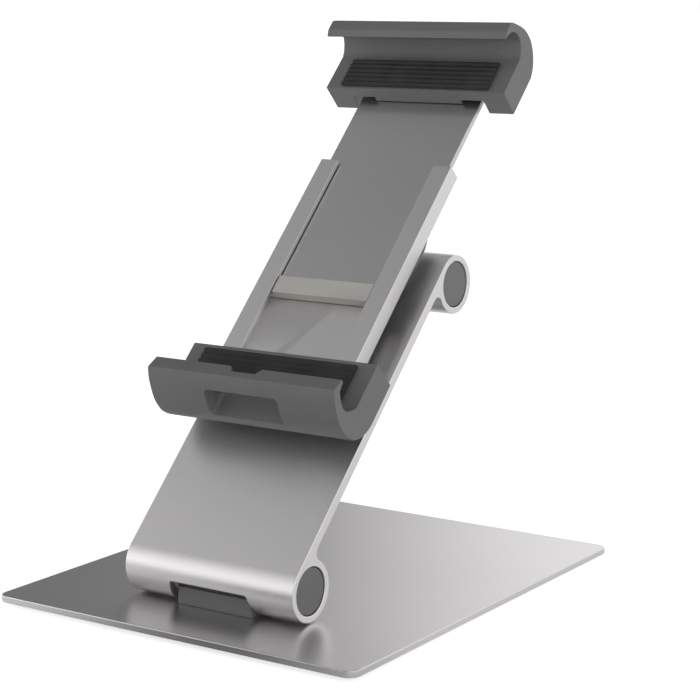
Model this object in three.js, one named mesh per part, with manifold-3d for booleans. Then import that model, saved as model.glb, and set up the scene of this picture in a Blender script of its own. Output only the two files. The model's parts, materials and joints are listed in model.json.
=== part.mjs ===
// Tablet stand: a flat steel base, a leaning aluminium arm with a friction hinge in a round barrel at
// each end, and a turning head whose two hooked jaws hold a tablet by its long edges.
// Millimetres, +Z up, -Y is the user's side, origin on the table under the centre of the base plate.

import * as THREE from 'three';
import { mergeVertices } from 'three/addons/utils/BufferGeometryUtils.js';
import Module from 'manifold-3d';

const wasm = await Module();
wasm.setup();

// ---------------------------------------------------------------- driving dimensions

const GAP = 0.3;                       // clearance between pieces that touch
const PAST = 1;                        // how far a cutter passes beyond the face it cuts
const FACETS = { round: 24, screw: 20, small: 16, hinge: 35, barrel: 48, cap: 36, plate: 40, disc: 48 };
const LEAN = THREE.MathUtils.degToRad(45);

const FOOT = { radius: 7, height: 1.5, inset: 12.5 };
const BASE = { width: 156.5, depth: 185.5, thickness: 2.5, corner: 4.5 };

const AXLE_Y = -57.23;                 // lower hinge axis
const AXLE_HEIGHT = 14.14;             // above the underside of the base plate

const ARM = { length: 137, width: 74.5, plate: 4, fillet: 3 };
const BARREL = { radius: 11.3, bore: 8.8 };
const NOTCH = { top: -2.36, halfTop: 17.1, halfLow: 18.4, low: -8.6, corner: 1.2, reach: 20 };
const HEAD_NOTCH = { halfWidth: 17.6, lower: -7.5, inner: -4, upperAngle: 104, reach: 20 };

const BLOCK = { radius: 8.5, halfWidth: 16.8, halfThick: 7.1, edge: 1.2, mount: 11.64 };
const BLOCK_SCREW = { spread: 10, hole: 2.8, depth: 6.3 };
const BLOCK_RECESS = { radius: 5.6, depth: 3.6 };
const BLOCK_STEP = { inner: 5.6, low: -5, high: -0.7 };
const PIN = { radius: 4, hole: 4.3, headRadius: 6.5, headLength: 4 };
const WASHER = { radius: 8.4, thickness: 1.5 };
const BUSH = { radius: 8.5, length: 10 };
const SPRING = { radius: 7.4, thickness: 1.1 };
const NUT = { radius: 7, length: 3.2 };
const CAP = { radius: 8.6, face: 1.6, recess: 0.4, skirt: 7.8, wall: 1.2, depth: 1.2 };

const SUNK = 0.1;                      // flat screw heads sit this far below their face
const CSK = { head: 5, shank: 2.5, cone: 2.5, length: 8.4, socket: 1.9 };
const JAW_SCREW = { head: 3.8, shank: 2, cone: 1.8, socket: 1.4 };
const DISC_SCREW = { head: 2.8, shank: 1.5, cone: 1.3, socket: 1 };

// Head frame: s runs up the leaning head, n runs backward square to it. The lower front edge of a
// held tablet is s = 0, n = 0. Both are measured from the lower hinge axis.
const HEAD_S = 57;
const HEAD_N = -40.9;
const HUB_S = ARM.length - HEAD_S;     // the head turns about this point

const HUB_PLATE = { radius: 24, front: 26, back: 28.9, bore: 3.4 };
const HUB_BOLT = { head: 6.2, front: 22.95, shoulder: 24.1, shank: 3.1, end: 32 };
const HUB_CLIP = { inner: 3.4, outer: 4.9, front: 29.55, back: 30.6 };
const TURNTABLE = { radius: 29, front: 22.7, back: 25.6, counterbore: 6.6, floor: 24.4, screws: 14 };

const CHANNEL = {
  half: 30, inner: 28, lip: 22, front: 15.6, lipBack: 17.3, web: 20.4, back: 22.4, low: 0.5, high: 117,
};
const SLIDE = { half: 27.6, front: 17.7, back: 20.1, low: 59.3, high: 171.5 };
const SHOE = { low: 51, high: 59, boss: 21.5, bossFront: 16, lap: 0.5 };
const STOP = { x: 24.2, s: 55, radius: 1.6, front: 17.9, back: 21.9, slotHalf: 2.2, slotEnd: 2, travel: 50 };

const JAW_HALF = 41.3;
const JAW_TOP = 22;                    // upper end of the fixed jaw's body
const JAW_LOW = 150;                   // lower end of the moving jaw's body

// Sections of the jaws, (n, s). Each runs from the tip of the lip, round the outside, up the back, and
// down the seat into the groove. The moving jaw stands a little further forward than the fixed one.
const LOWER = {
  tip: [[-0.5, 4.3], [-1.7, 4.6]],
  outside: [
    [-3.4, -1.3], [-0.8, -3.6], [2.8, -5.7], [7.9, -7.9], [12.4, -8.5], [15.6, -8.3], [19.8, -6.6],
    [22.8, -3.7], [24.1, -1.5], [25, 1], [25.6, 3.4],
  ],
  back: 25.6,
  seat: 13,
  groove: [[13, 3], [12.3, 1.8], [11, 0.1], [9.5, -1.2], [7.9, -2.1], [5.5, -2.1], [2.6, -0.9], [0.2, 0.9]],
};
const UPPER = {
  tip: [[-3.1, 165.4], [-3.6, 165], [-5.1, 167.6], [-5.2, 172.2]],
  outside: [
    [-3.6, 174], [-0.4, 176], [3.1, 177.9], [6, 178.9], [8.6, 179.2], [11.4, 179.1], [14.4, 178.1],
    [17.2, 176.5], [20, 173.8], [21.4, 171.5], [22.4, 169],
  ],
  back: 22.4,
  seat: 10.4,
  groove: [
    [10.4, 167], [9.7, 168.7], [8.4, 170.5], [6.9, 171.9], [5.3, 172.9], [2.9, 173.1], [0.2, 172.2],
    [-1.9, 170.3], [-2.7, 168],
  ],
};

const WINDOW = { half: 16.2, front: 1.6, back: 12.8, corner: 1.5, low: -15, high: 3 };
const LIP_NOTCH = { floor: 1.8, halfFloor: 5.3, halfTop: 7.6, top: 5.6, front: -6, back: 1.4 };
const SOCKET = { half: 30.3, front: 15.3, back: 22.7, floor: 0.2 };
const SLEEVE = {
  half: 30.3, front: 15.3, back: 24, top: 168, slotHalf: 27.9, slotFront: 17.4, slotBack: 20.4, slotTop: 172,
};
const SLEEVE_BOSS = { half: 20, back: 17.4 };
const LOWER_SCREWS = { x: 10, s: 11 };
const UPPER_SCREWS = { x: 12, s: 158 };
const PAD = { half: 34, thickness: 1.4, lowerLow: 5, lowerHigh: 20, upperLow: 151, upperHigh: 165 };

// ---------------------------------------------------------------- materials

const metal = (color, roughness) => new THREE.MeshStandardMaterial({ color, roughness, metalness: 1 });
const plastic = (color, roughness) => new THREE.MeshStandardMaterial({ color, roughness, metalness: 0 });

const LOOKS = {
  plate: () => metal('#b9bbbd', 0.38),
  aluminium: () => metal('#c9cacb', 0.34),
  steel: () => metal('#a9abad', 0.3),
  moulding: () => plastic('#606064', 0.55),
  nylon: () => plastic('#d9d6cb', 0.6),
  rubber: () => plastic('#232325', 0.9),
};

// ---------------------------------------------------------------- solid helpers

// Shared vertices, no slivers at a lathe's poles, and faces that point outward.
function tidied(geometry) {
  const source = geometry.clone();
  source.deleteAttribute('normal');
  source.deleteAttribute('uv');
  const merged = mergeVertices(source, 1e-4);
  const index = merged.index.array;
  const position = merged.attributes.position;
  const kept = [];
  const corner = [new THREE.Vector3(), new THREE.Vector3(), new THREE.Vector3()];
  let volume = 0;
  for (let i = 0; i < index.length; i += 3) {
    const [a, b, c] = [index[i], index[i + 1], index[i + 2]];
    if (a === b || b === c || c === a) continue;
    kept.push(a, b, c);
    [a, b, c].forEach((vertex, k) => corner[k].fromBufferAttribute(position, vertex));
    volume += corner[0].dot(corner[1].clone().cross(corner[2]));
  }
  if (volume < 0) {
    for (let i = 0; i < kept.length; i += 3) [kept[i], kept[i + 1]] = [kept[i + 1], kept[i]];
  }
  merged.setIndex(kept);
  return merged;
}

function solid(geometry) {
  const clean = tidied(geometry);
  return new wasm.Manifold(new wasm.Mesh({
    numProp: 3,
    vertProperties: new Float32Array(clean.attributes.position.array),
    triVerts: new Uint32Array(clean.index.array),
  }));
}

function geometryOf(manifold) {
  const mesh = manifold.getMesh();
  const geometry = new THREE.BufferGeometry();
  geometry.setAttribute('position', new THREE.BufferAttribute(new Float32Array(mesh.vertProperties), 3));
  geometry.setIndex(new THREE.BufferAttribute(new Uint32Array(mesh.triVerts), 1));
  return geometry;
}

function cut(geometry, tools) {
  return geometryOf(tools.reduce((rest, tool) => rest.subtract(solid(tool)), solid(geometry)));
}

function join(...pieces) {
  return geometryOf(pieces.map(solid).reduce((whole, piece) => whole.add(piece)));
}

function shapeOf(points, holes = []) {
  const shape = new THREE.Shape(points.map(([u, v]) => new THREE.Vector2(u, v)));
  shape.holes = holes.map((ring) => new THREE.Path(ring.map(([u, v]) => new THREE.Vector2(u, v))));
  return shape;
}

const drawnOut = (shape, depth) => new THREE.ExtrudeGeometry(shape, { depth, bevelEnabled: false });

// A section in (y, z) drawn out along x.
function alongX(points, half, holes = []) {
  const geometry = drawnOut(shapeOf(points, holes), 2 * half).translate(0, 0, -half);
  const cyclic = new THREE.Matrix4().makeBasis(
    new THREE.Vector3(0, 1, 0), new THREE.Vector3(0, 0, 1), new THREE.Vector3(1, 0, 0));
  return geometry.applyMatrix4(cyclic);
}

// A section in (x, y) drawn up from low to high.
function alongZ(points, low, high, holes = []) {
  return drawnOut(shapeOf(points, holes), high - low).translate(0, 0, low);
}

// A section in (x, z) drawn back from front to back.
function alongY(points, front, back) {
  return drawnOut(shapeOf(points), back - front).rotateX(Math.PI / 2).translate(0, back, 0);
}

function block(x0, x1, y0, y1, z0, z1) {
  const geometry = new THREE.BoxGeometry(x1 - x0, y1 - y0, z1 - z0);
  return geometry.translate((x0 + x1) / 2, (y0 + y1) / 2, (z0 + z1) / 2);
}

// A turned piece about local z from (radius, height) pairs.
function turned(profile, segments = FACETS.round) {
  const points = profile.map(([radius, height]) => new THREE.Vector2(radius, height));
  return new THREE.LatheGeometry(points, segments).rotateX(Math.PI / 2);
}

function rod(radius, low, high, segments = FACETS.round) {
  return turned([[0, low], [radius, low], [radius, high], [0, high]], segments);
}

function ring(inner, outer, low, high, segments = FACETS.round) {
  return turned([[inner, low], [outer, low], [outer, high], [inner, high], [inner, low]], segments);
}

// A round hole right through whatever lies between two heights.
function through(radius, low, high, segments = FACETS.round) {
  return rod(radius, low - PAST, high + PAST, segments);
}

const toX = (geometry) => geometry.rotateY(Math.PI / 2);       // local z becomes x
const toBack = (geometry) => geometry.rotateX(-Math.PI / 2);   // local z becomes y

function arc(cy, cz, radius, from, to, steps) {
  return Array.from({ length: steps + 1 }, (_, i) => {
    const angle = THREE.MathUtils.degToRad(from + ((to - from) * i) / steps);
    return [cy + radius * Math.cos(angle), cz + radius * Math.sin(angle)];
  });
}

// A smooth line through the points, with two spans to each of their gaps.
function smooth(points) {
  const curve = new THREE.SplineCurve(points.map(([u, v]) => new THREE.Vector2(u, v)));
  return curve.getPoints(2 * (points.length - 1)).map((point) => [point.x, point.y]);
}

function roundedRectangle(halfX, y0, y1, radius, steps = 6) {
  return [
    ...arc(halfX - radius, y1 - radius, radius, 0, 90, steps),
    ...arc(-halfX + radius, y1 - radius, radius, 90, 180, steps),
    ...arc(-halfX + radius, y0 + radius, radius, 180, 270, steps),
    ...arc(halfX - radius, y0 + radius, radius, 270, 360, steps),
  ];
}

// A flat-headed screw, its head's face at height 0 and its shank going up, with a hex socket.
function flatScrew(size, length, hasSocket = true) {
  const body = turned([
    [0, 0], [size.head, 0], [size.shank, size.cone], [size.shank, length], [0, length],
  ], FACETS.screw);
  if (!hasSocket) return body;
  const socket = new THREE.CylinderGeometry(size.socket, size.socket, 2 * size.cone * 0.7, 6);
  return cut(body, [socket.rotateX(Math.PI / 2)]);
}

// The hole that such a screw needs: a countersink at height 0 and a clear hole above it.
function screwHole(size, length, clear = GAP) {
  return turned([
    [0, -PAST], [size.head + clear, -PAST], [size.head + clear, 0], [size.shank + clear, size.cone],
    [size.shank + clear, length], [0, length],
  ], FACETS.screw);
}

// ---------------------------------------------------------------- scene graph

const stand = new THREE.Group();
const armFrame = new THREE.Group();
armFrame.position.set(0, AXLE_Y, FOOT.height + AXLE_HEIGHT);
armFrame.rotation.x = -LEAN;
stand.add(armFrame);

const headFrame = new THREE.Group();
headFrame.position.set(0, HEAD_N, HEAD_S);
armFrame.add(headFrame);

function place(parent, name, look, geometry, position = [0, 0, 0], rotation = [0, 0, 0]) {
  const mesh = new THREE.Mesh(tidied(geometry), LOOKS[look]());
  mesh.name = name;
  mesh.position.set(...position);
  mesh.rotation.set(...rotation);
  parent.add(mesh);
  return mesh;
}

// ---------------------------------------------------------------- base

const plateLow = FOOT.height;
const plateTop = FOOT.height + BASE.thickness;
const basePlan = roundedRectangle(BASE.width / 2, -BASE.depth / 2, BASE.depth / 2, BASE.corner);
const baseHoles = [-1, 1].map((side) => screwHole(CSK, BASE.thickness + PAST)
  .translate(side * BLOCK_SCREW.spread, AXLE_Y, plateLow));
place(stand, 'base_plate', 'plate', cut(alongZ(basePlan, plateLow, plateTop), baseHoles));

let footNumber = 0;
for (const sideY of [-1, 1]) {
  for (const sideX of [-1, 1]) {
    footNumber += 1;
    const x = sideX * (BASE.width / 2 - FOOT.inset);
    const y = sideY * (BASE.depth / 2 - FOOT.inset);
    place(stand, `foot_${footNumber}`, 'rubber', rod(FOOT.radius, 0, FOOT.height), [x, y, 0]);
  }
}

// The hinge block: a round hub inside the barrel and a slab that leaves through the notch, with a
// step on each side between the two. The same moulding stands on the base and carries the head.
function hingeBlock() {
  const floor = -BLOCK.mount;
  const hub = alongX(arc(0, 0, BLOCK.radius, 0, 350, FACETS.hinge), BLOCK.halfWidth);
  const plan = roundedRectangle(BLOCK.halfWidth, -BLOCK.halfThick, BLOCK.halfThick, BLOCK.edge);
  const bore = toX(through(PIN.hole, -BLOCK.halfWidth, BLOCK.halfWidth));
  const holes = [-1, 1].map((side) => rod(BLOCK_SCREW.hole, floor - PAST, floor + BLOCK_SCREW.depth,
    FACETS.screw).translate(side * BLOCK_SCREW.spread, 0, 0));
  const recess = rod(BLOCK_RECESS.radius, floor - PAST, floor + BLOCK_RECESS.depth);
  const end = BLOCK.halfWidth + PAST;
  const reach = BLOCK.radius + PAST;
  const steps = [[-reach, -BLOCK_STEP.inner], [BLOCK_STEP.inner, reach]]
    .map(([y0, y1]) => block(-end, end, y0, y1, BLOCK_STEP.low, BLOCK_STEP.high));
  return cut(join(hub, alongZ(plan, floor, 0)), [bore, ...holes, recess, ...steps]);
}

place(stand, 'base_hinge_block', 'moulding', hingeBlock(), [0, AXLE_Y, FOOT.height + AXLE_HEIGHT]);
[-1, 1].forEach((side, i) => place(stand, `base_screw_${i + 1}`, 'steel', flatScrew(CSK, CSK.length),
  [side * BLOCK_SCREW.spread, AXLE_Y, plateLow + SUNK]));

// ---------------------------------------------------------------- arm

// One extrusion: a flat plate whose front face runs tangent into a barrel at each end.
function armSection() {
  const { radius } = BARREL;
  const backFace = -radius + ARM.plate;
  const centre = backFace + ARM.fillet;
  const rise = Math.sqrt((radius + ARM.fillet) ** 2 - centre ** 2);
  const onBarrel = THREE.MathUtils.radToDeg(Math.atan2(rise, centre));
  return [
    ...arc(0, 0, radius, 180, 360 + onBarrel, FACETS.barrel),
    ...arc(centre, rise, ARM.fillet, onBarrel - 180, -180, 4),
    ...arc(centre, ARM.length - rise, ARM.fillet, 180, 180 - onBarrel, 4),
    ...arc(0, ARM.length, radius, -onBarrel, 180, FACETS.barrel),
  ];
}

// The lower notch is milled straight through from front to back, level while the arm leans at rest.
function lowerNotch() {
  const { top, halfTop, halfLow, low, corner, reach } = NOTCH;
  const outline = [
    ...arc(halfTop - corner, top - corner, corner, 0, 90, 4),
    ...arc(-halfTop + corner, top - corner, corner, 90, 180, 4),
    [-halfLow, low], [-halfLow, -reach], [halfLow, -reach], [halfLow, low],
  ];
  return alongY(outline, -reach, reach).rotateX(LEAN);
}

// The upper notch opens to the front for the block and on over the top for the head's tilt.
function upperNotch() {
  const { halfWidth, lower, inner, upperAngle, reach } = HEAD_NOTCH;
  const angle = THREE.MathUtils.degToRad(upperAngle);
  const outline = [
    [-reach, lower], [inner, lower], [0, 0], [-Math.cos(angle) * reach, Math.sin(angle) * reach],
    [-reach, reach],
  ];
  return alongX(outline, halfWidth).translate(0, 0, ARM.length);
}

const bores = [0, ARM.length].map((z) => arc(0, z, BARREL.bore, 5, 355, FACETS.hinge));
const armBody = alongX(armSection(), ARM.width / 2, bores);
place(armFrame, 'arm_profile', 'aluminium', cut(armBody, [lowerNotch(), upperNotch()]));

// A friction hinge fills a barrel: bolt, nut, spring washer, and a washer and a bush on each side.
function hinge(name, z) {
  const washerAt = BLOCK.halfWidth + GAP;
  const bushAt = washerAt + WASHER.thickness + GAP;
  const bushEnd = bushAt + BUSH.length;
  const headAt = bushEnd + GAP;
  const nutAt = headAt + SPRING.thickness + GAP;
  const at = [0, 0, z];
  const bolt = join(
    rod(PIN.radius, -headAt - PAST, nutAt + NUT.length, FACETS.screw),
    rod(PIN.headRadius, -headAt - PIN.headLength, -headAt, 6),
  );
  place(armFrame, `${name}_bolt`, 'steel', toX(bolt), at);
  [['left', -1], ['right', 1]].forEach(([side, sign]) => {
    const washer = ring(PIN.hole, WASHER.radius, washerAt, washerAt + WASHER.thickness);
    const bush = ring(PIN.hole, BUSH.radius, bushAt, bushEnd);
    const turn = [0, sign < 0 ? Math.PI : 0, 0];
    place(armFrame, `${name}_washer_${side}`, 'nylon', toX(washer), at, turn);
    place(armFrame, `${name}_bush_${side}`, 'steel', toX(bush), at, turn);
  });
  const spring = ring(PIN.hole, SPRING.radius, headAt, headAt + SPRING.thickness);
  place(armFrame, `${name}_spring`, 'steel', toX(spring), at);
  const hexagon = arc(0, 0, NUT.radius, 0, 300, 5);
  const nut = alongZ(hexagon, nutAt, nutAt + NUT.length, [arc(0, 0, PIN.hole, 0, 342, 19)]);
  place(armFrame, `${name}_nut`, 'steel', toX(nut), at);
}

hinge('lower', 0);
hinge('upper', ARM.length);

// End caps push into the barrels and stop just short of flush.
function endCap() {
  const face = ARM.width / 2 - CAP.recess;
  const rim = CAP.skirt;
  return turned([
    [0, face - CAP.face], [rim - CAP.wall, face - CAP.face], [rim - CAP.wall, face - CAP.face - CAP.depth],
    [rim, face - CAP.face - CAP.depth], [rim, face - CAP.face], [CAP.radius, face - CAP.face],
    [CAP.radius, face], [0, face],
  ], FACETS.cap);
}

[['lower', 0], ['upper', ARM.length]].forEach(([name, z]) => {
  place(armFrame, `${name}_cap_left`, 'moulding', toX(endCap()), [0, 0, z], [0, Math.PI, 0]);
  place(armFrame, `${name}_cap_right`, 'moulding', toX(endCap()), [0, 0, z]);
});

// ---------------------------------------------------------------- carrier on the upper hinge

const faceForward = [-Math.PI / 2, 0, 0];
place(armFrame, 'head_hinge_block', 'moulding', hingeBlock(), [0, 0, ARM.length], faceForward);

const hubAt = [0, 0, HUB_S];
const hubScrewHoles = [-1, 1].map((side) => screwHole(CSK, HUB_PLATE.back - HUB_PLATE.front + PAST)
  .translate(side * BLOCK_SCREW.spread, 0, HUB_PLATE.front));
const hubPlate = cut(rod(HUB_PLATE.radius, HUB_PLATE.front, HUB_PLATE.back, FACETS.plate), [
  through(HUB_PLATE.bore, HUB_PLATE.front, HUB_PLATE.back), ...hubScrewHoles,
]);
place(headFrame, 'hub_plate', 'steel', toBack(hubPlate), hubAt);
[-1, 1].forEach((side, i) => place(headFrame, `hub_screw_${i + 1}`, 'steel',
  toBack(flatScrew(CSK, CSK.length, false)),
  [side * BLOCK_SCREW.spread, HUB_PLATE.front + SUNK, HUB_S]));

// ---------------------------------------------------------------- turning head

const discCorners = [[-1, -1], [1, -1], [-1, 1], [1, 1]]
  .map((corner) => corner.map((side) => side * TURNTABLE.screws));
const disc = cut(rod(TURNTABLE.radius, TURNTABLE.front, TURNTABLE.back, FACETS.disc), [
  through(HUB_PLATE.bore, TURNTABLE.front, TURNTABLE.back),
  rod(TURNTABLE.counterbore, TURNTABLE.front - PAST, TURNTABLE.floor),
  ...discCorners.map(([x, y]) => through(DISC_SCREW.shank + GAP, TURNTABLE.front, TURNTABLE.back,
    FACETS.small).translate(x, y, 0)),
]);
place(headFrame, 'turntable', 'moulding', toBack(disc), hubAt);

const hubBolt = turned([
  [0, HUB_BOLT.front], [HUB_BOLT.head, HUB_BOLT.front], [HUB_BOLT.head, HUB_BOLT.shoulder],
  [HUB_BOLT.shank, HUB_BOLT.shoulder], [HUB_BOLT.shank, HUB_BOLT.end], [0, HUB_BOLT.end],
]);
place(headFrame, 'hub_bolt', 'steel', toBack(hubBolt), hubAt);
place(headFrame, 'hub_clip', 'steel',
  toBack(ring(HUB_CLIP.inner, HUB_CLIP.outer, HUB_CLIP.front, HUB_CLIP.back)), hubAt);

// The channel is a C section, open to the front, in which the moving jaw's slide runs.
const { half, inner, lip, front, lipBack, web, back } = CHANNEL;
const webHole = (size) => toBack(through(size.shank + GAP, web, back, FACETS.small));
const channelSection = [
  [-half, front], [-lip, front], [-lip, lipBack], [-inner, lipBack], [-inner, web], [inner, web],
  [inner, lipBack], [lip, lipBack], [lip, front], [half, front], [half, back], [-half, back],
];
const stopSlot = block(STOP.x - STOP.slotHalf, STOP.x + STOP.slotHalf, web - PAST, back + PAST,
  STOP.s - STOP.travel - STOP.slotEnd, STOP.s + STOP.travel + STOP.slotEnd);
const channelHoles = [
  ...discCorners.map(([x, s]) => toBack(screwHole(DISC_SCREW, back - web + PAST))
    .translate(x, web, HUB_S + s)),
  ...[-1, 1].map((side) => webHole(JAW_SCREW).translate(side * LOWER_SCREWS.x, 0, LOWER_SCREWS.s)),
];
place(headFrame, 'head_channel', 'aluminium',
  cut(alongZ(channelSection, CHANNEL.low, CHANNEL.high), [stopSlot, ...channelHoles]));

const discScrewLength = TURNTABLE.back - web - SUNK - GAP;
discCorners.forEach(([x, s], i) => place(headFrame, `turntable_screw_${i + 1}`, 'steel',
  toBack(flatScrew(DISC_SCREW, discScrewLength, false)), [x, web + SUNK, HUB_S + s]));

// ---------------------------------------------------------------- fixed lower jaw

// A jaw's whole section: its lip, its round outside, its square back end and its round groove.
function jawSection(jaw, backEnd) {
  return [
    ...jaw.tip, ...smooth(jaw.outside), [jaw.back, backEnd], [jaw.seat, backEnd], ...smooth(jaw.groove),
  ];
}

const windowPlan = roundedRectangle(WINDOW.half, WINDOW.front, WINDOW.back, WINDOW.corner, 4);
const lipNotch = alongY([
  [-LIP_NOTCH.halfFloor, LIP_NOTCH.floor], [LIP_NOTCH.halfFloor, LIP_NOTCH.floor],
  [LIP_NOTCH.halfTop, LIP_NOTCH.top], [-LIP_NOTCH.halfTop, LIP_NOTCH.top],
], LIP_NOTCH.front, LIP_NOTCH.back);
const jawScrewFace = LOWER.back - SUNK;
const jawScrewLength = jawScrewFace - web - GAP;
const toFront = (geometry) => geometry.rotateX(Math.PI / 2);   // local z becomes -y
const lowerJaw = cut(alongX(jawSection(LOWER, JAW_TOP), JAW_HALF), [
  alongZ(windowPlan, WINDOW.low, WINDOW.high),
  lipNotch,
  block(-SOCKET.half, SOCKET.half, SOCKET.front, SOCKET.back, SOCKET.floor, JAW_TOP + PAST),
  ...[-1, 1].map((side) => toFront(screwHole(JAW_SCREW, LOWER.back - SOCKET.back + PAST))
    .translate(side * LOWER_SCREWS.x, jawScrewFace, LOWER_SCREWS.s)),
]);
place(headFrame, 'lower_jaw', 'moulding', lowerJaw);
[-1, 1].forEach((side, i) => place(headFrame, `lower_jaw_screw_${i + 1}`, 'steel',
  toFront(flatScrew(JAW_SCREW, jawScrewLength)), [side * LOWER_SCREWS.x, jawScrewFace, LOWER_SCREWS.s]));

function jawPad(name, seat, low, high) {
  const padBack = seat - GAP;
  place(headFrame, name, 'rubber', block(-PAD.half, PAD.half, padBack - PAD.thickness, padBack, low, high));
}

jawPad('lower_jaw_pad', LOWER.seat, PAD.lowerLow, PAD.lowerHigh);

// ---------------------------------------------------------------- slide and moving upper jaw

const upperScrewFace = UPPER.seat + SUNK;
const upperScrewLength = SLIDE.back - upperScrewFace - SUNK;
const slidePlate = cut(block(-SLIDE.half, SLIDE.half, SLIDE.front, SLIDE.back, SLIDE.low, SLIDE.high),
  [-1, 1].map((side) => toBack(through(JAW_SCREW.shank + GAP, SLIDE.front, SLIDE.back, FACETS.small))
    .translate(side * UPPER_SCREWS.x, 0, UPPER_SCREWS.s)));
place(headFrame, 'slide_plate', 'steel', slidePlate);

const shoe = cut(join(
  block(-SLIDE.half, SLIDE.half, SLIDE.front, SLIDE.back, SHOE.low, SHOE.high),
  block(-SHOE.boss, SHOE.boss, SHOE.bossFront, SLIDE.front + SHOE.lap, SHOE.low, SHOE.high),
), [toBack(through(STOP.radius + GAP, SLIDE.front, SLIDE.back, FACETS.small))
  .translate(STOP.x, 0, STOP.s)]);
place(headFrame, 'slide_shoe', 'nylon', shoe);
place(headFrame, 'stop_pin', 'steel', toBack(rod(STOP.radius, STOP.front, STOP.back, FACETS.small)),
  [STOP.x, 0, STOP.s]);

// The moving jaw is hollow behind its seat: a sleeve passes over the channel, and a boss inside it
// leaves a slot that grips the slide.
const sleeve = block(-SLEEVE.half, SLEEVE.half, SLEEVE.front, SLEEVE.back, JAW_LOW - PAST, SLEEVE.top);
const sleeveSlot = block(-SLEEVE.slotHalf, SLEEVE.slotHalf, SLEEVE.slotFront, SLEEVE.slotBack,
  JAW_LOW, SLEEVE.slotTop);
const upperBody = cut(alongX(jawSection(UPPER, JAW_LOW), JAW_HALF), [sleeve, sleeveSlot]);
const upperBoss = block(-SLEEVE_BOSS.half, SLEEVE_BOSS.half, SLEEVE.front - PAST, SLEEVE_BOSS.back,
  JAW_LOW, SLEEVE.top + PAST);
const upperScrewHole = () => toBack(screwHole(JAW_SCREW, SLEEVE_BOSS.back - UPPER.seat + PAST));
const upperJaw = cut(join(upperBody, upperBoss),
  [-1, 1].map((side) => upperScrewHole().translate(side * UPPER_SCREWS.x, upperScrewFace, UPPER_SCREWS.s)));
place(headFrame, 'upper_jaw', 'moulding', upperJaw);
[-1, 1].forEach((side, i) => place(headFrame, `upper_jaw_screw_${i + 1}`, 'steel',
  toBack(flatScrew(JAW_SCREW, upperScrewLength)),
  [side * UPPER_SCREWS.x, upperScrewFace, UPPER_SCREWS.s]));
jawPad('upper_jaw_pad', UPPER.seat, PAD.upperLow, PAD.upperHigh);

export default stand;
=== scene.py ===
"""Looks of the tablet stand: satin metal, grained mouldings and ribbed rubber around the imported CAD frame.

Lengths are metres everywhere in Blender, and millimetres in the driving dimensions below, where those
don't say metres.
"""

import json
import math

import bmesh
import bpy
from mathutils import Matrix, Vector


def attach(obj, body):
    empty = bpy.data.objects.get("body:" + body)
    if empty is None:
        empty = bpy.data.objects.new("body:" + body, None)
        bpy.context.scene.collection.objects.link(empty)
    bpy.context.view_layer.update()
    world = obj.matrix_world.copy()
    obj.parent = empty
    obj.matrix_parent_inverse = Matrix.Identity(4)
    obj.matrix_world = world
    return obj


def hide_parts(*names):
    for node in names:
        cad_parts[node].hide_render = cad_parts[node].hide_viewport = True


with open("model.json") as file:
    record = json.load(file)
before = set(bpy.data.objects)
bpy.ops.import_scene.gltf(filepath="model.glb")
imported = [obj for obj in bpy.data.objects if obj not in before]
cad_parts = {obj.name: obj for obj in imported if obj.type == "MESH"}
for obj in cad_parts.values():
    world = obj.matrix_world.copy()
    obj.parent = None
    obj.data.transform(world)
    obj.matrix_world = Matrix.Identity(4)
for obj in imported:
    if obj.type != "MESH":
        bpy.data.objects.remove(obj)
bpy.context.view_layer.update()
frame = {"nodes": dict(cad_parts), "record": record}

MM = 0.001
NODES = frame["nodes"]
BODY_OF = {
    node: body
    for body, members in frame["record"]["behaviour"]["bodies"].items()
    for node in members
}

# ---------------------------------------------------------------- driving dimensions

SAME_POINT = 0.002          # mm between corners that are merged
SAME_PLANE = 0.6            # degrees between faces that are merged
SHARP_ANGLE = 28            # degrees between faces, above which an edge gets a rounding
BEVEL_STEPS = 3
END_DEPTH = 0.01            # mm within which a corner lies in an end face

# Edge roundings, mm. The ends of the arm and of the jaws have their own.
ROUNDING = {
    "base_plate": 0.35,
    "arm_profile": 0.2,
    "head_channel": 0.25,
    "slide_plate": 0.3,
    "slide_shoe": 0.3,
    "turntable": 0.4,
    "hub_plate": 0.3,
    "lower_jaw_screw": 0.12,
    "hinge_block": 0.3,
    "cap": 0.4,
    "foot": 0.25,
    "jaw": 0.25,
}
ARM_END_ROUNDING = 0.4
JAW_END_ROUNDING = 0.45

# The pads' ribs, mm, with the flats that make up one rib's wave.
PAD_RIB = {"pitch": 2.2, "depth": 0.55, "flats": 10, "rounding": 0.3}

# Millimetres and degrees; yaw is to the left of +Y.
CAMERA = {
    "place": (425.58, -620.13, 221.9),
    "yaw": 33.48,
    "pitch": -10.0,
    "roll": 0.13,
    "lens": 104.46,
}
CLIP = (0.01, 100)          # metres

# Metres. The floor lies a hair below the feet, so that the two never share a plane. Only the camera sees
# its glow, and only the stand sees its emitted bounce and the painted shadow, a dark patch in front of the
# plate.
FLOOR = {"size": 40.0, "cells": 8, "drop": 0.00005, "roughness": 0.9, "glow": 0.68, "bounce": 0.3}
# Painted shadow on the floor in front of the plate: dark grey with no bounce glow, seen only by the stand.
SHADOW_PATCH = {"centre": (0.018, -0.122, 0), "reach": 0.115, "dark": 0.06, "pale": 0.75}

# The studio's lights. Directions are degrees left of +Y and above the horizon.
AMBIENT = 0.15
SCREEN = {"towards": (-60, 0), "edge": (-0.14, 0.06), "fade": (0.3, 0.9), "top": 0.15, "light": 1.12}
LEFT_BOX = {"towards": (115, 0), "tightness": 7.0, "light": 2.5}
FRONT_BOX = {"towards": (190, 10), "tightness": 2.0, "light": 0.35}
OVERHEAD = (0, 90)
STUDIO_COLOUR = (1, 0.993, 0.991, 1)
WHITE = (1, 1, 1, 1)

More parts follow.
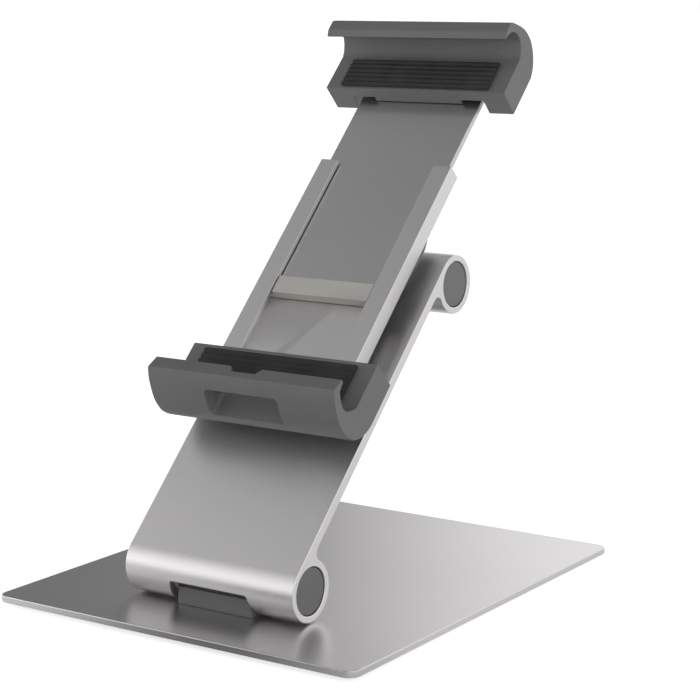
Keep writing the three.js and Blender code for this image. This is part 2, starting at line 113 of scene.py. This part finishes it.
# The leaning head's own directions at rest: up it, and square to it towards the back.
LEAN = math.radians(45)
UP = Vector((0, math.sin(LEAN), math.cos(LEAN)))
BACK = Vector((0, math.cos(LEAN), -math.sin(LEAN)))

# ---------------------------------------------------------------- node helpers


def add(tree, kind, inputs=None, **settings):
    """A shader node with its settings, and its sockets either set to a value or linked to an output."""
    made = tree.nodes.new(kind)
    for name, value in settings.items():
        setattr(made, name, value)
    for name, value in (inputs or {}).items():
        if isinstance(value, bpy.types.NodeSocket):
            tree.links.new(value, made.inputs[name])
        else:
            made.inputs[name].default_value = value
    return made


def step(tree, value, start, end, at_start=0.0, at_end=1.0):
    """A soft step from at_start to at_end, as the value goes from start to end."""
    made = add(tree, "ShaderNodeMapRange", {"Value": value, "From Min": start, "From Max": end,
                                            "To Min": at_start, "To Max": at_end},
               interpolation_type="SMOOTHSTEP")
    return made.outputs["Result"]


def calc(tree, operation, a, b=0.0):
    """The result of a Math node."""
    return add(tree, "ShaderNodeMath", {0: a, 1: b}, operation=operation).outputs["Value"]


def noise(tree, where, per_metre, detail, stretch=(1, 1, 1)):
    """Noise with about per_metre lumps in a metre, drawn out along an axis by a stretch below 1."""
    mapping = add(tree, "ShaderNodeMapping", {"Vector": where, "Scale": stretch})
    made = add(tree, "ShaderNodeTexNoise",
               {"Vector": mapping.outputs["Vector"], "Scale": per_metre, "Detail": detail})
    return made.outputs["Fac"]


def new_material(name, **values):
    """An empty material, its Principled shader with uniform values set on it, and its object coordinates."""
    material = bpy.data.materials.new(name)
    material.use_nodes = True
    tree = material.node_tree
    tree.nodes.clear()
    shader = add(tree, "ShaderNodeBsdfPrincipled", values)
    output = add(tree, "ShaderNodeOutputMaterial")
    tree.links.new(shader.outputs["BSDF"], output.inputs["Surface"])
    where = add(tree, "ShaderNodeTexCoord").outputs["Object"]
    return material, tree, shader, where


def grey(level):
    """A neutral colour."""
    return (level, level, level)


def coloured(tree, shader, factor, dark, light, between=(0.3, 0.7)):
    """Colours a shader from dark to light, as the factor goes between two levels."""
    made = add(tree, "ShaderNodeValToRGB", {"Fac": factor})
    for element, position, colour in zip(made.color_ramp.elements, between, (dark, light)):
        element.position = position
        element.color = (*colour, 1)
    tree.links.new(made.outputs["Color"], shader.inputs["Base Color"])


def polished(tree, shader, factor, low, high):
    """Gives a shader a roughness between low and high, by a 0 to 1 factor."""
    made = add(tree, "ShaderNodeMapRange", {"Value": factor, "To Min": low, "To Max": high})
    tree.links.new(made.outputs["Result"], shader.inputs["Roughness"])


def bumped(tree, shader, height, strength, depth_mm):
    """Gives a shader a fine relief of its own depth."""
    made = add(tree, "ShaderNodeBump", {"Height": height, "Strength": strength, "Distance": depth_mm * MM})
    tree.links.new(made.outputs["Normal"], shader.inputs["Normal"])


# ---------------------------------------------------------------- materials


def satin_metal(name, dark, light, roughness, grain, relief=0.1, stretch=(1, 1, 1)):
    """Blasted and brushed metal: a fine grain in its sheen and relief, over a slow drift in tone."""
    material, tree, shader, where = new_material(name, Metallic=1.0)
    fine = noise(tree, where, per_metre=grain, detail=4.0, stretch=stretch)
    slow = noise(tree, where, per_metre=14.0, detail=2.0)
    mean = calc(tree, "MULTIPLY", calc(tree, "ADD", fine, slow), 0.5)
    coloured(tree, shader, mean, dark, light)
    polished(tree, shader, fine, *roughness)
    bumped(tree, shader, fine, strength=relief, depth_mm=0.01)
    return material


def grained_moulding(name, dark, light, roughness):
    """Moulded plastic: an eroded grain a third of a millimetre across, with slow gloss and tone changes."""
    material, tree, shader, where = new_material(name)
    grain = noise(tree, where, per_metre=2600.0, detail=2.0)
    slow = noise(tree, where, per_metre=35.0, detail=3.0)
    coloured(tree, shader, slow, dark, light)
    polished(tree, shader, slow, *roughness)
    bumped(tree, shader, grain, strength=0.35, depth_mm=0.02)
    return material


def rubber(name):
    """Black rubber with a dusty bloom in patches and a fine matt skin."""
    material, tree, shader, where = new_material(name)
    bloom = noise(tree, where, per_metre=90.0, detail=4.0)
    skin = noise(tree, where, per_metre=3500.0, detail=2.0)
    coloured(tree, shader, bloom, dark=grey(0.012), light=grey(0.03), between=(0.35, 0.75))
    polished(tree, shader, bloom, low=0.66, high=0.86)
    bumped(tree, shader, skin, strength=0.5, depth_mm=0.02)
    return material


def nylon(name):
    """Greyish nylon, a little see-through at its skin, with soft flow marks."""
    values = {"Subsurface Weight": 0.15, "Subsurface Scale": 0.002}
    material, tree, shader, where = new_material(name, **values)
    flow = noise(tree, where, per_metre=60.0, detail=3.0, stretch=(0.3, 1, 1))
    coloured(tree, shader, flow, dark=(0.4, 0.39, 0.365), light=(0.5, 0.49, 0.46))
    polished(tree, shader, flow, low=0.4, high=0.52)
    bumped(tree, shader, flow, strength=0.2, depth_mm=0.05)
    return material


LOOKS = {
    "base_metal": satin_metal(
        "satin_steel_plate", dark=(0.67, 0.655, 0.66), light=(0.71, 0.695, 0.7),
        roughness=(0.3, 0.35), grain=1100.0, relief=0.03),
    "aluminium": satin_metal(
        "satin_aluminium", dark=(0.71, 0.7, 0.7), light=(0.77, 0.76, 0.76),
        roughness=(0.32, 0.4), grain=1700.0, stretch=(0.35, 1, 1)),
    "steel": satin_metal(
        "plated_steel", dark=(0.6, 0.6, 0.605), light=(0.66, 0.66, 0.66),
        roughness=(0.26, 0.33), grain=1200.0),
    "grey_moulding": grained_moulding(
        "grey_moulding", dark=(0.127, 0.127, 0.132), light=(0.142, 0.142, 0.148),
        roughness=(0.44, 0.54)),
    "nylon": nylon("natural_nylon"),
    "rubber": rubber("matt_rubber"),
}

# The material slots, and how the names of their nodes start.
SLOTS = {
    "base_metal": ["base_plate"],
    "aluminium": ["arm_profile", "head_channel"],
    "steel": [
        "base_screw", "lower_bolt", "upper_bolt", "lower_nut", "upper_nut", "lower_bush", "upper_bush",
        "lower_spring", "upper_spring", "hub", "turntable_screw", "lower_jaw_screw", "slide_plate",
        "stop_pin", "upper_jaw_screw",
    ],
    "grey_moulding": [
        "base_hinge_block", "head_hinge_block", "lower_cap", "upper_cap", "turntable", "lower_jaw",
        "upper_jaw",
    ],
    "nylon": ["lower_washer", "upper_washer", "slide_shoe"],
    "rubber": ["foot", "lower_jaw_pad", "upper_jaw_pad"],
}
SLOT_OF = {start: slot for slot, starts in SLOTS.items() for start in starts}


def slot_of(node):
    """The material slot of a node: that of the longest name in SLOT_OF that its own name starts with."""
    return SLOT_OF[max((start for start in SLOT_OF if node.startswith(start)), key=len)]


# ---------------------------------------------------------------- mesh helpers


def rounded(piece, width_mm):
    """Rounds the edges that carry a bevel weight, up to the width, and keeps the flats flat."""
    bevel = piece.modifiers.new("edges", "BEVEL")
    bevel.limit_method = "WEIGHT"
    bevel.width = width_mm * MM
    bevel.segments = BEVEL_STEPS
    bevel.use_clamp_overlap = False
    bevel.harden_normals = True
    bevel.miter_outer = "MITER_ARC"


def weigh_edges(bm, share=1.0, end_share=1.0):
    """Gives sharp outer edges a bevel weight, with its own share for those in the two end faces along x."""
    weight = bm.edges.layers.float.new("bevel_weight_edge")
    half = max(vertex.co.x for vertex in bm.verts)
    for edge in bm.edges:
        if edge.is_convex and edge.calc_face_angle() > math.radians(SHARP_ANGLE):
            at_end = all(abs(abs(vertex.co.x) - half) < END_DEPTH * MM for vertex in edge.verts)
            edge[weight] = end_share if at_end else share


def copy_of(node):
    """A bmesh of a CAD node with shared corners, and flats as whole faces."""
    source = NODES[node].data
    bm = bmesh.new()
    corners = [bm.verts.new(vertex.co) for vertex in source.vertices]
    for polygon in source.polygons:
        bm.faces.new([corners[i] for i in polygon.vertices])
    bmesh.ops.remove_doubles(bm, verts=bm.verts, dist=SAME_POINT * MM)
    bmesh.ops.dissolve_limit(bm, angle_limit=math.radians(SAME_PLANE), verts=bm.verts, edges=bm.edges)
    bmesh.ops.recalc_face_normals(bm, faces=bm.faces)
    return bm


def stand_in(node, bm, width_mm):
    """Makes the bmesh a piece in place of a CAD node, on its body, with edges rounded up to the width."""
    slot = slot_of(node)
    mesh = bpy.data.meshes.new(f"{node}_look")
    bm.to_mesh(mesh)
    bm.free()
    mesh.materials.append(LOOKS[slot])
    mesh.shade_smooth()
    piece = bpy.data.objects.new(f"{node}_look", mesh)
    bpy.context.scene.collection.objects.link(piece)
    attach(piece, BODY_OF[node])
    rounded(piece, width_mm)
    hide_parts(node)


def leaning_box(node):
    """Lowest and highest (x, up, back) of a node, in the leaning head's own directions."""
    points = [vertex.co for vertex in NODES[node].data.vertices]
    spans = [[p.x for p in points], [p.dot(UP) for p in points], [p.dot(BACK) for p in points]]
    return [min(span) for span in spans], [max(span) for span in spans]


# ---------------------------------------------------------------- pieces


def refined(node, width_mm, end_width_mm=None):
    """Stands for a CAD node with the same shape, finished edges and a finished surface."""
    end_width_mm = end_width_mm or width_mm
    largest = max(width_mm, end_width_mm)
    bm = copy_of(node)
    weigh_edges(bm, width_mm / largest, end_width_mm / largest)
    stand_in(node, bm, largest)


def ribbed_pad(node):
    """A rubber pad with round ribs along x on its front face, in place of the plain CAD slab."""
    low, high = leaning_box(node)
    pitch = PAD_RIB["pitch"] * MM
    depth = PAD_RIB["depth"] * MM
    ribs = int((high[1] - low[1]) / pitch)
    count = ribs * PAD_RIB["flats"]
    section = [(high[1], high[2]), (low[1], high[2])]
    for i in range(count + 1):
        share = i / count
        wave = (1 + math.cos(2 * math.pi * ribs * share)) / 2
        section.append((low[1] + share * (high[1] - low[1]), low[2] + depth * wave))
    bm = bmesh.new()
    ends = [
        [bm.verts.new(Vector((x, 0, 0)) + up * UP + back * BACK) for up, back in section]
        for x in (low[0], high[0])
    ]
    bm.faces.new(ends[0])
    bm.faces.new(reversed(ends[1]))
    for i in range(len(section)):
        j = (i + 1) % len(section)
        bm.faces.new((ends[0][i], ends[0][j], ends[1][j], ends[1][i]))
    bmesh.ops.recalc_face_normals(bm, faces=bm.faces)
    weigh_edges(bm)
    stand_in(node, bm, PAD_RIB["rounding"])


for name in ("base_plate", "head_channel", "slide_plate", "slide_shoe", "turntable", "hub_plate"):
    refined(name, ROUNDING[name])
refined("arm_profile", ROUNDING["arm_profile"], ARM_END_ROUNDING)
for name in ("base_hinge_block", "head_hinge_block"):
    refined(name, ROUNDING["hinge_block"])
for end in ("lower", "upper"):
    for side in ("left", "right"):
        refined(f"{end}_cap_{side}", ROUNDING["cap"])
for number in (1, 2, 3, 4):
    refined(f"foot_{number}", ROUNDING["foot"])
for number in (1, 2):
    refined(f"lower_jaw_screw_{number}", ROUNDING["lower_jaw_screw"])
for name in ("lower_jaw", "upper_jaw"):
    refined(name, ROUNDING["jaw"], JAW_END_ROUNDING)
ribbed_pad("lower_jaw_pad")
ribbed_pad("upper_jaw_pad")

# Hidden and inner hardware keeps its CAD shape under a finished surface.
for node, cad_object in NODES.items():
    if not cad_object.hide_render:
        cad_object.data.materials.clear()
        cad_object.data.materials.append(LOOKS[slot_of(node)])

# ---------------------------------------------------------------- floor, light and camera


def floor_material():
    """Plain white to the camera. The stand sees it as light grey, with a painted shadow in front of the
    plate.
    """
    material, tree, shader, where = new_material("pale_floor", Roughness=FLOOR["roughness"])
    away = add(tree, "ShaderNodeVectorMath", {0: where, 1: SHADOW_PATCH["centre"]}, operation="DISTANCE")
    # Painted shadow: darkest at the patch centre and paling out to its reach; camera rays always see the
    # floor pale.
    share = step(tree, away.outputs["Value"], 0.0, SHADOW_PATCH["reach"])
    seen = add(tree, "ShaderNodeLightPath").outputs["Is Camera Ray"]
    unshadowed = calc(tree, "MAXIMUM", share, seen)
    coloured(tree, shader, unshadowed, grey(SHADOW_PATCH["dark"]), grey(SHADOW_PATCH["pale"]), between=(0.0, 1.0))
    glow = calc(tree, "MULTIPLY", seen, FLOOR["glow"])
    bounce = calc(tree, "MULTIPLY", share, FLOOR["bounce"])
    shader.inputs["Emission Color"].default_value = WHITE
    tree.links.new(calc(tree, "MAXIMUM", glow, bounce), shader.inputs["Emission Strength"])
    return material


def make_floor():
    """A wide flat sheet under the stand."""
    bm = bmesh.new()
    bmesh.ops.create_grid(bm, x_segments=FLOOR["cells"], y_segments=FLOOR["cells"], size=FLOOR["size"] / 2)
    mesh = bpy.data.meshes.new("floor")
    bm.to_mesh(mesh)
    bm.free()
    mesh.materials.append(floor_material())
    floor = bpy.data.objects.new("floor", mesh)
    floor.location.z = -FLOOR["drop"]
    bpy.context.scene.collection.objects.link(floor)


def direction(azimuth, elevation):
    """A unit vector by degrees left of +Y and above the horizon."""
    a, e = math.radians(azimuth), math.radians(elevation)
    return (-math.sin(a) * math.cos(e), math.cos(a) * math.cos(e), math.sin(e))


def make_world():
    """A soft studio: a wide screen behind and to the right, and soft boxes low on the left and in front."""
    world = bpy.data.worlds.new("studio")
    bpy.context.scene.world = world
    world.use_nodes = True
    tree = world.node_tree
    tree.nodes.clear()
    where = add(tree, "ShaderNodeTexCoord").outputs["Generated"]

    def along(towards):
        made = add(tree, "ShaderNodeVectorMath", {0: where, 1: direction(*towards)}, operation="DOT_PRODUCT")
        return made.outputs["Value"]

    def soft_box(box):
        away = calc(tree, "SUBTRACT", along(box["towards"]), 1.0)
        falloff = calc(tree, "EXPONENT", calc(tree, "MULTIPLY", away, box["tightness"]))
        return calc(tree, "MULTIPLY", falloff, box["light"])

    across = step(tree, along(SCREEN["towards"]), *SCREEN["edge"])
    height = step(tree, along(OVERHEAD), *SCREEN["fade"], 1.0, SCREEN["top"])
    screen = calc(tree, "MULTIPLY", calc(tree, "MULTIPLY", across, height), SCREEN["light"])
    boxes = calc(tree, "ADD", soft_box(LEFT_BOX), soft_box(FRONT_BOX))
    total = calc(tree, "ADD", calc(tree, "ADD", screen, AMBIENT), boxes)
    seen = add(tree, "ShaderNodeLightPath").outputs["Is Camera Ray"]
    studio = add(tree, "ShaderNodeBackground", {"Color": STUDIO_COLOUR, "Strength": total})
    plain = add(tree, "ShaderNodeBackground", {"Color": WHITE, "Strength": 1.0})
    mixed = add(tree, "ShaderNodeMixShader",
                {0: seen, 1: studio.outputs["Background"], 2: plain.outputs["Background"]})
    output = add(tree, "ShaderNodeOutputWorld")
    tree.links.new(mixed.outputs["Shader"], output.inputs["Surface"])


def make_camera():
    """The camera at its place, turned by its yaw, pitch and roll."""
    yaw, pitch, roll = (math.radians(CAMERA[key]) for key in ("yaw", "pitch", "roll"))
    forward = Vector((-math.sin(yaw) * math.cos(pitch), math.cos(yaw) * math.cos(pitch), math.sin(pitch)))
    level = Vector((math.cos(yaw), math.sin(yaw), 0))
    upright = level.cross(forward)
    right = math.cos(roll) * level + math.sin(roll) * upright
    top = -math.sin(roll) * level + math.cos(roll) * upright
    data = bpy.data.cameras.new("camera")
    data.lens = CAMERA["lens"]
    data.clip_start, data.clip_end = CLIP
    camera = bpy.data.objects.new("camera", data)
    bpy.context.scene.collection.objects.link(camera)
    axes = Matrix((right, top, -forward)).transposed().to_4x4()
    camera.matrix_world = Matrix.Translation(Vector(CAMERA["place"]) * MM) @ axes
    bpy.context.scene.camera = camera


make_floor()
make_world()
make_camera()
bpy.context.scene.view_settings.view_transform = "Standard"
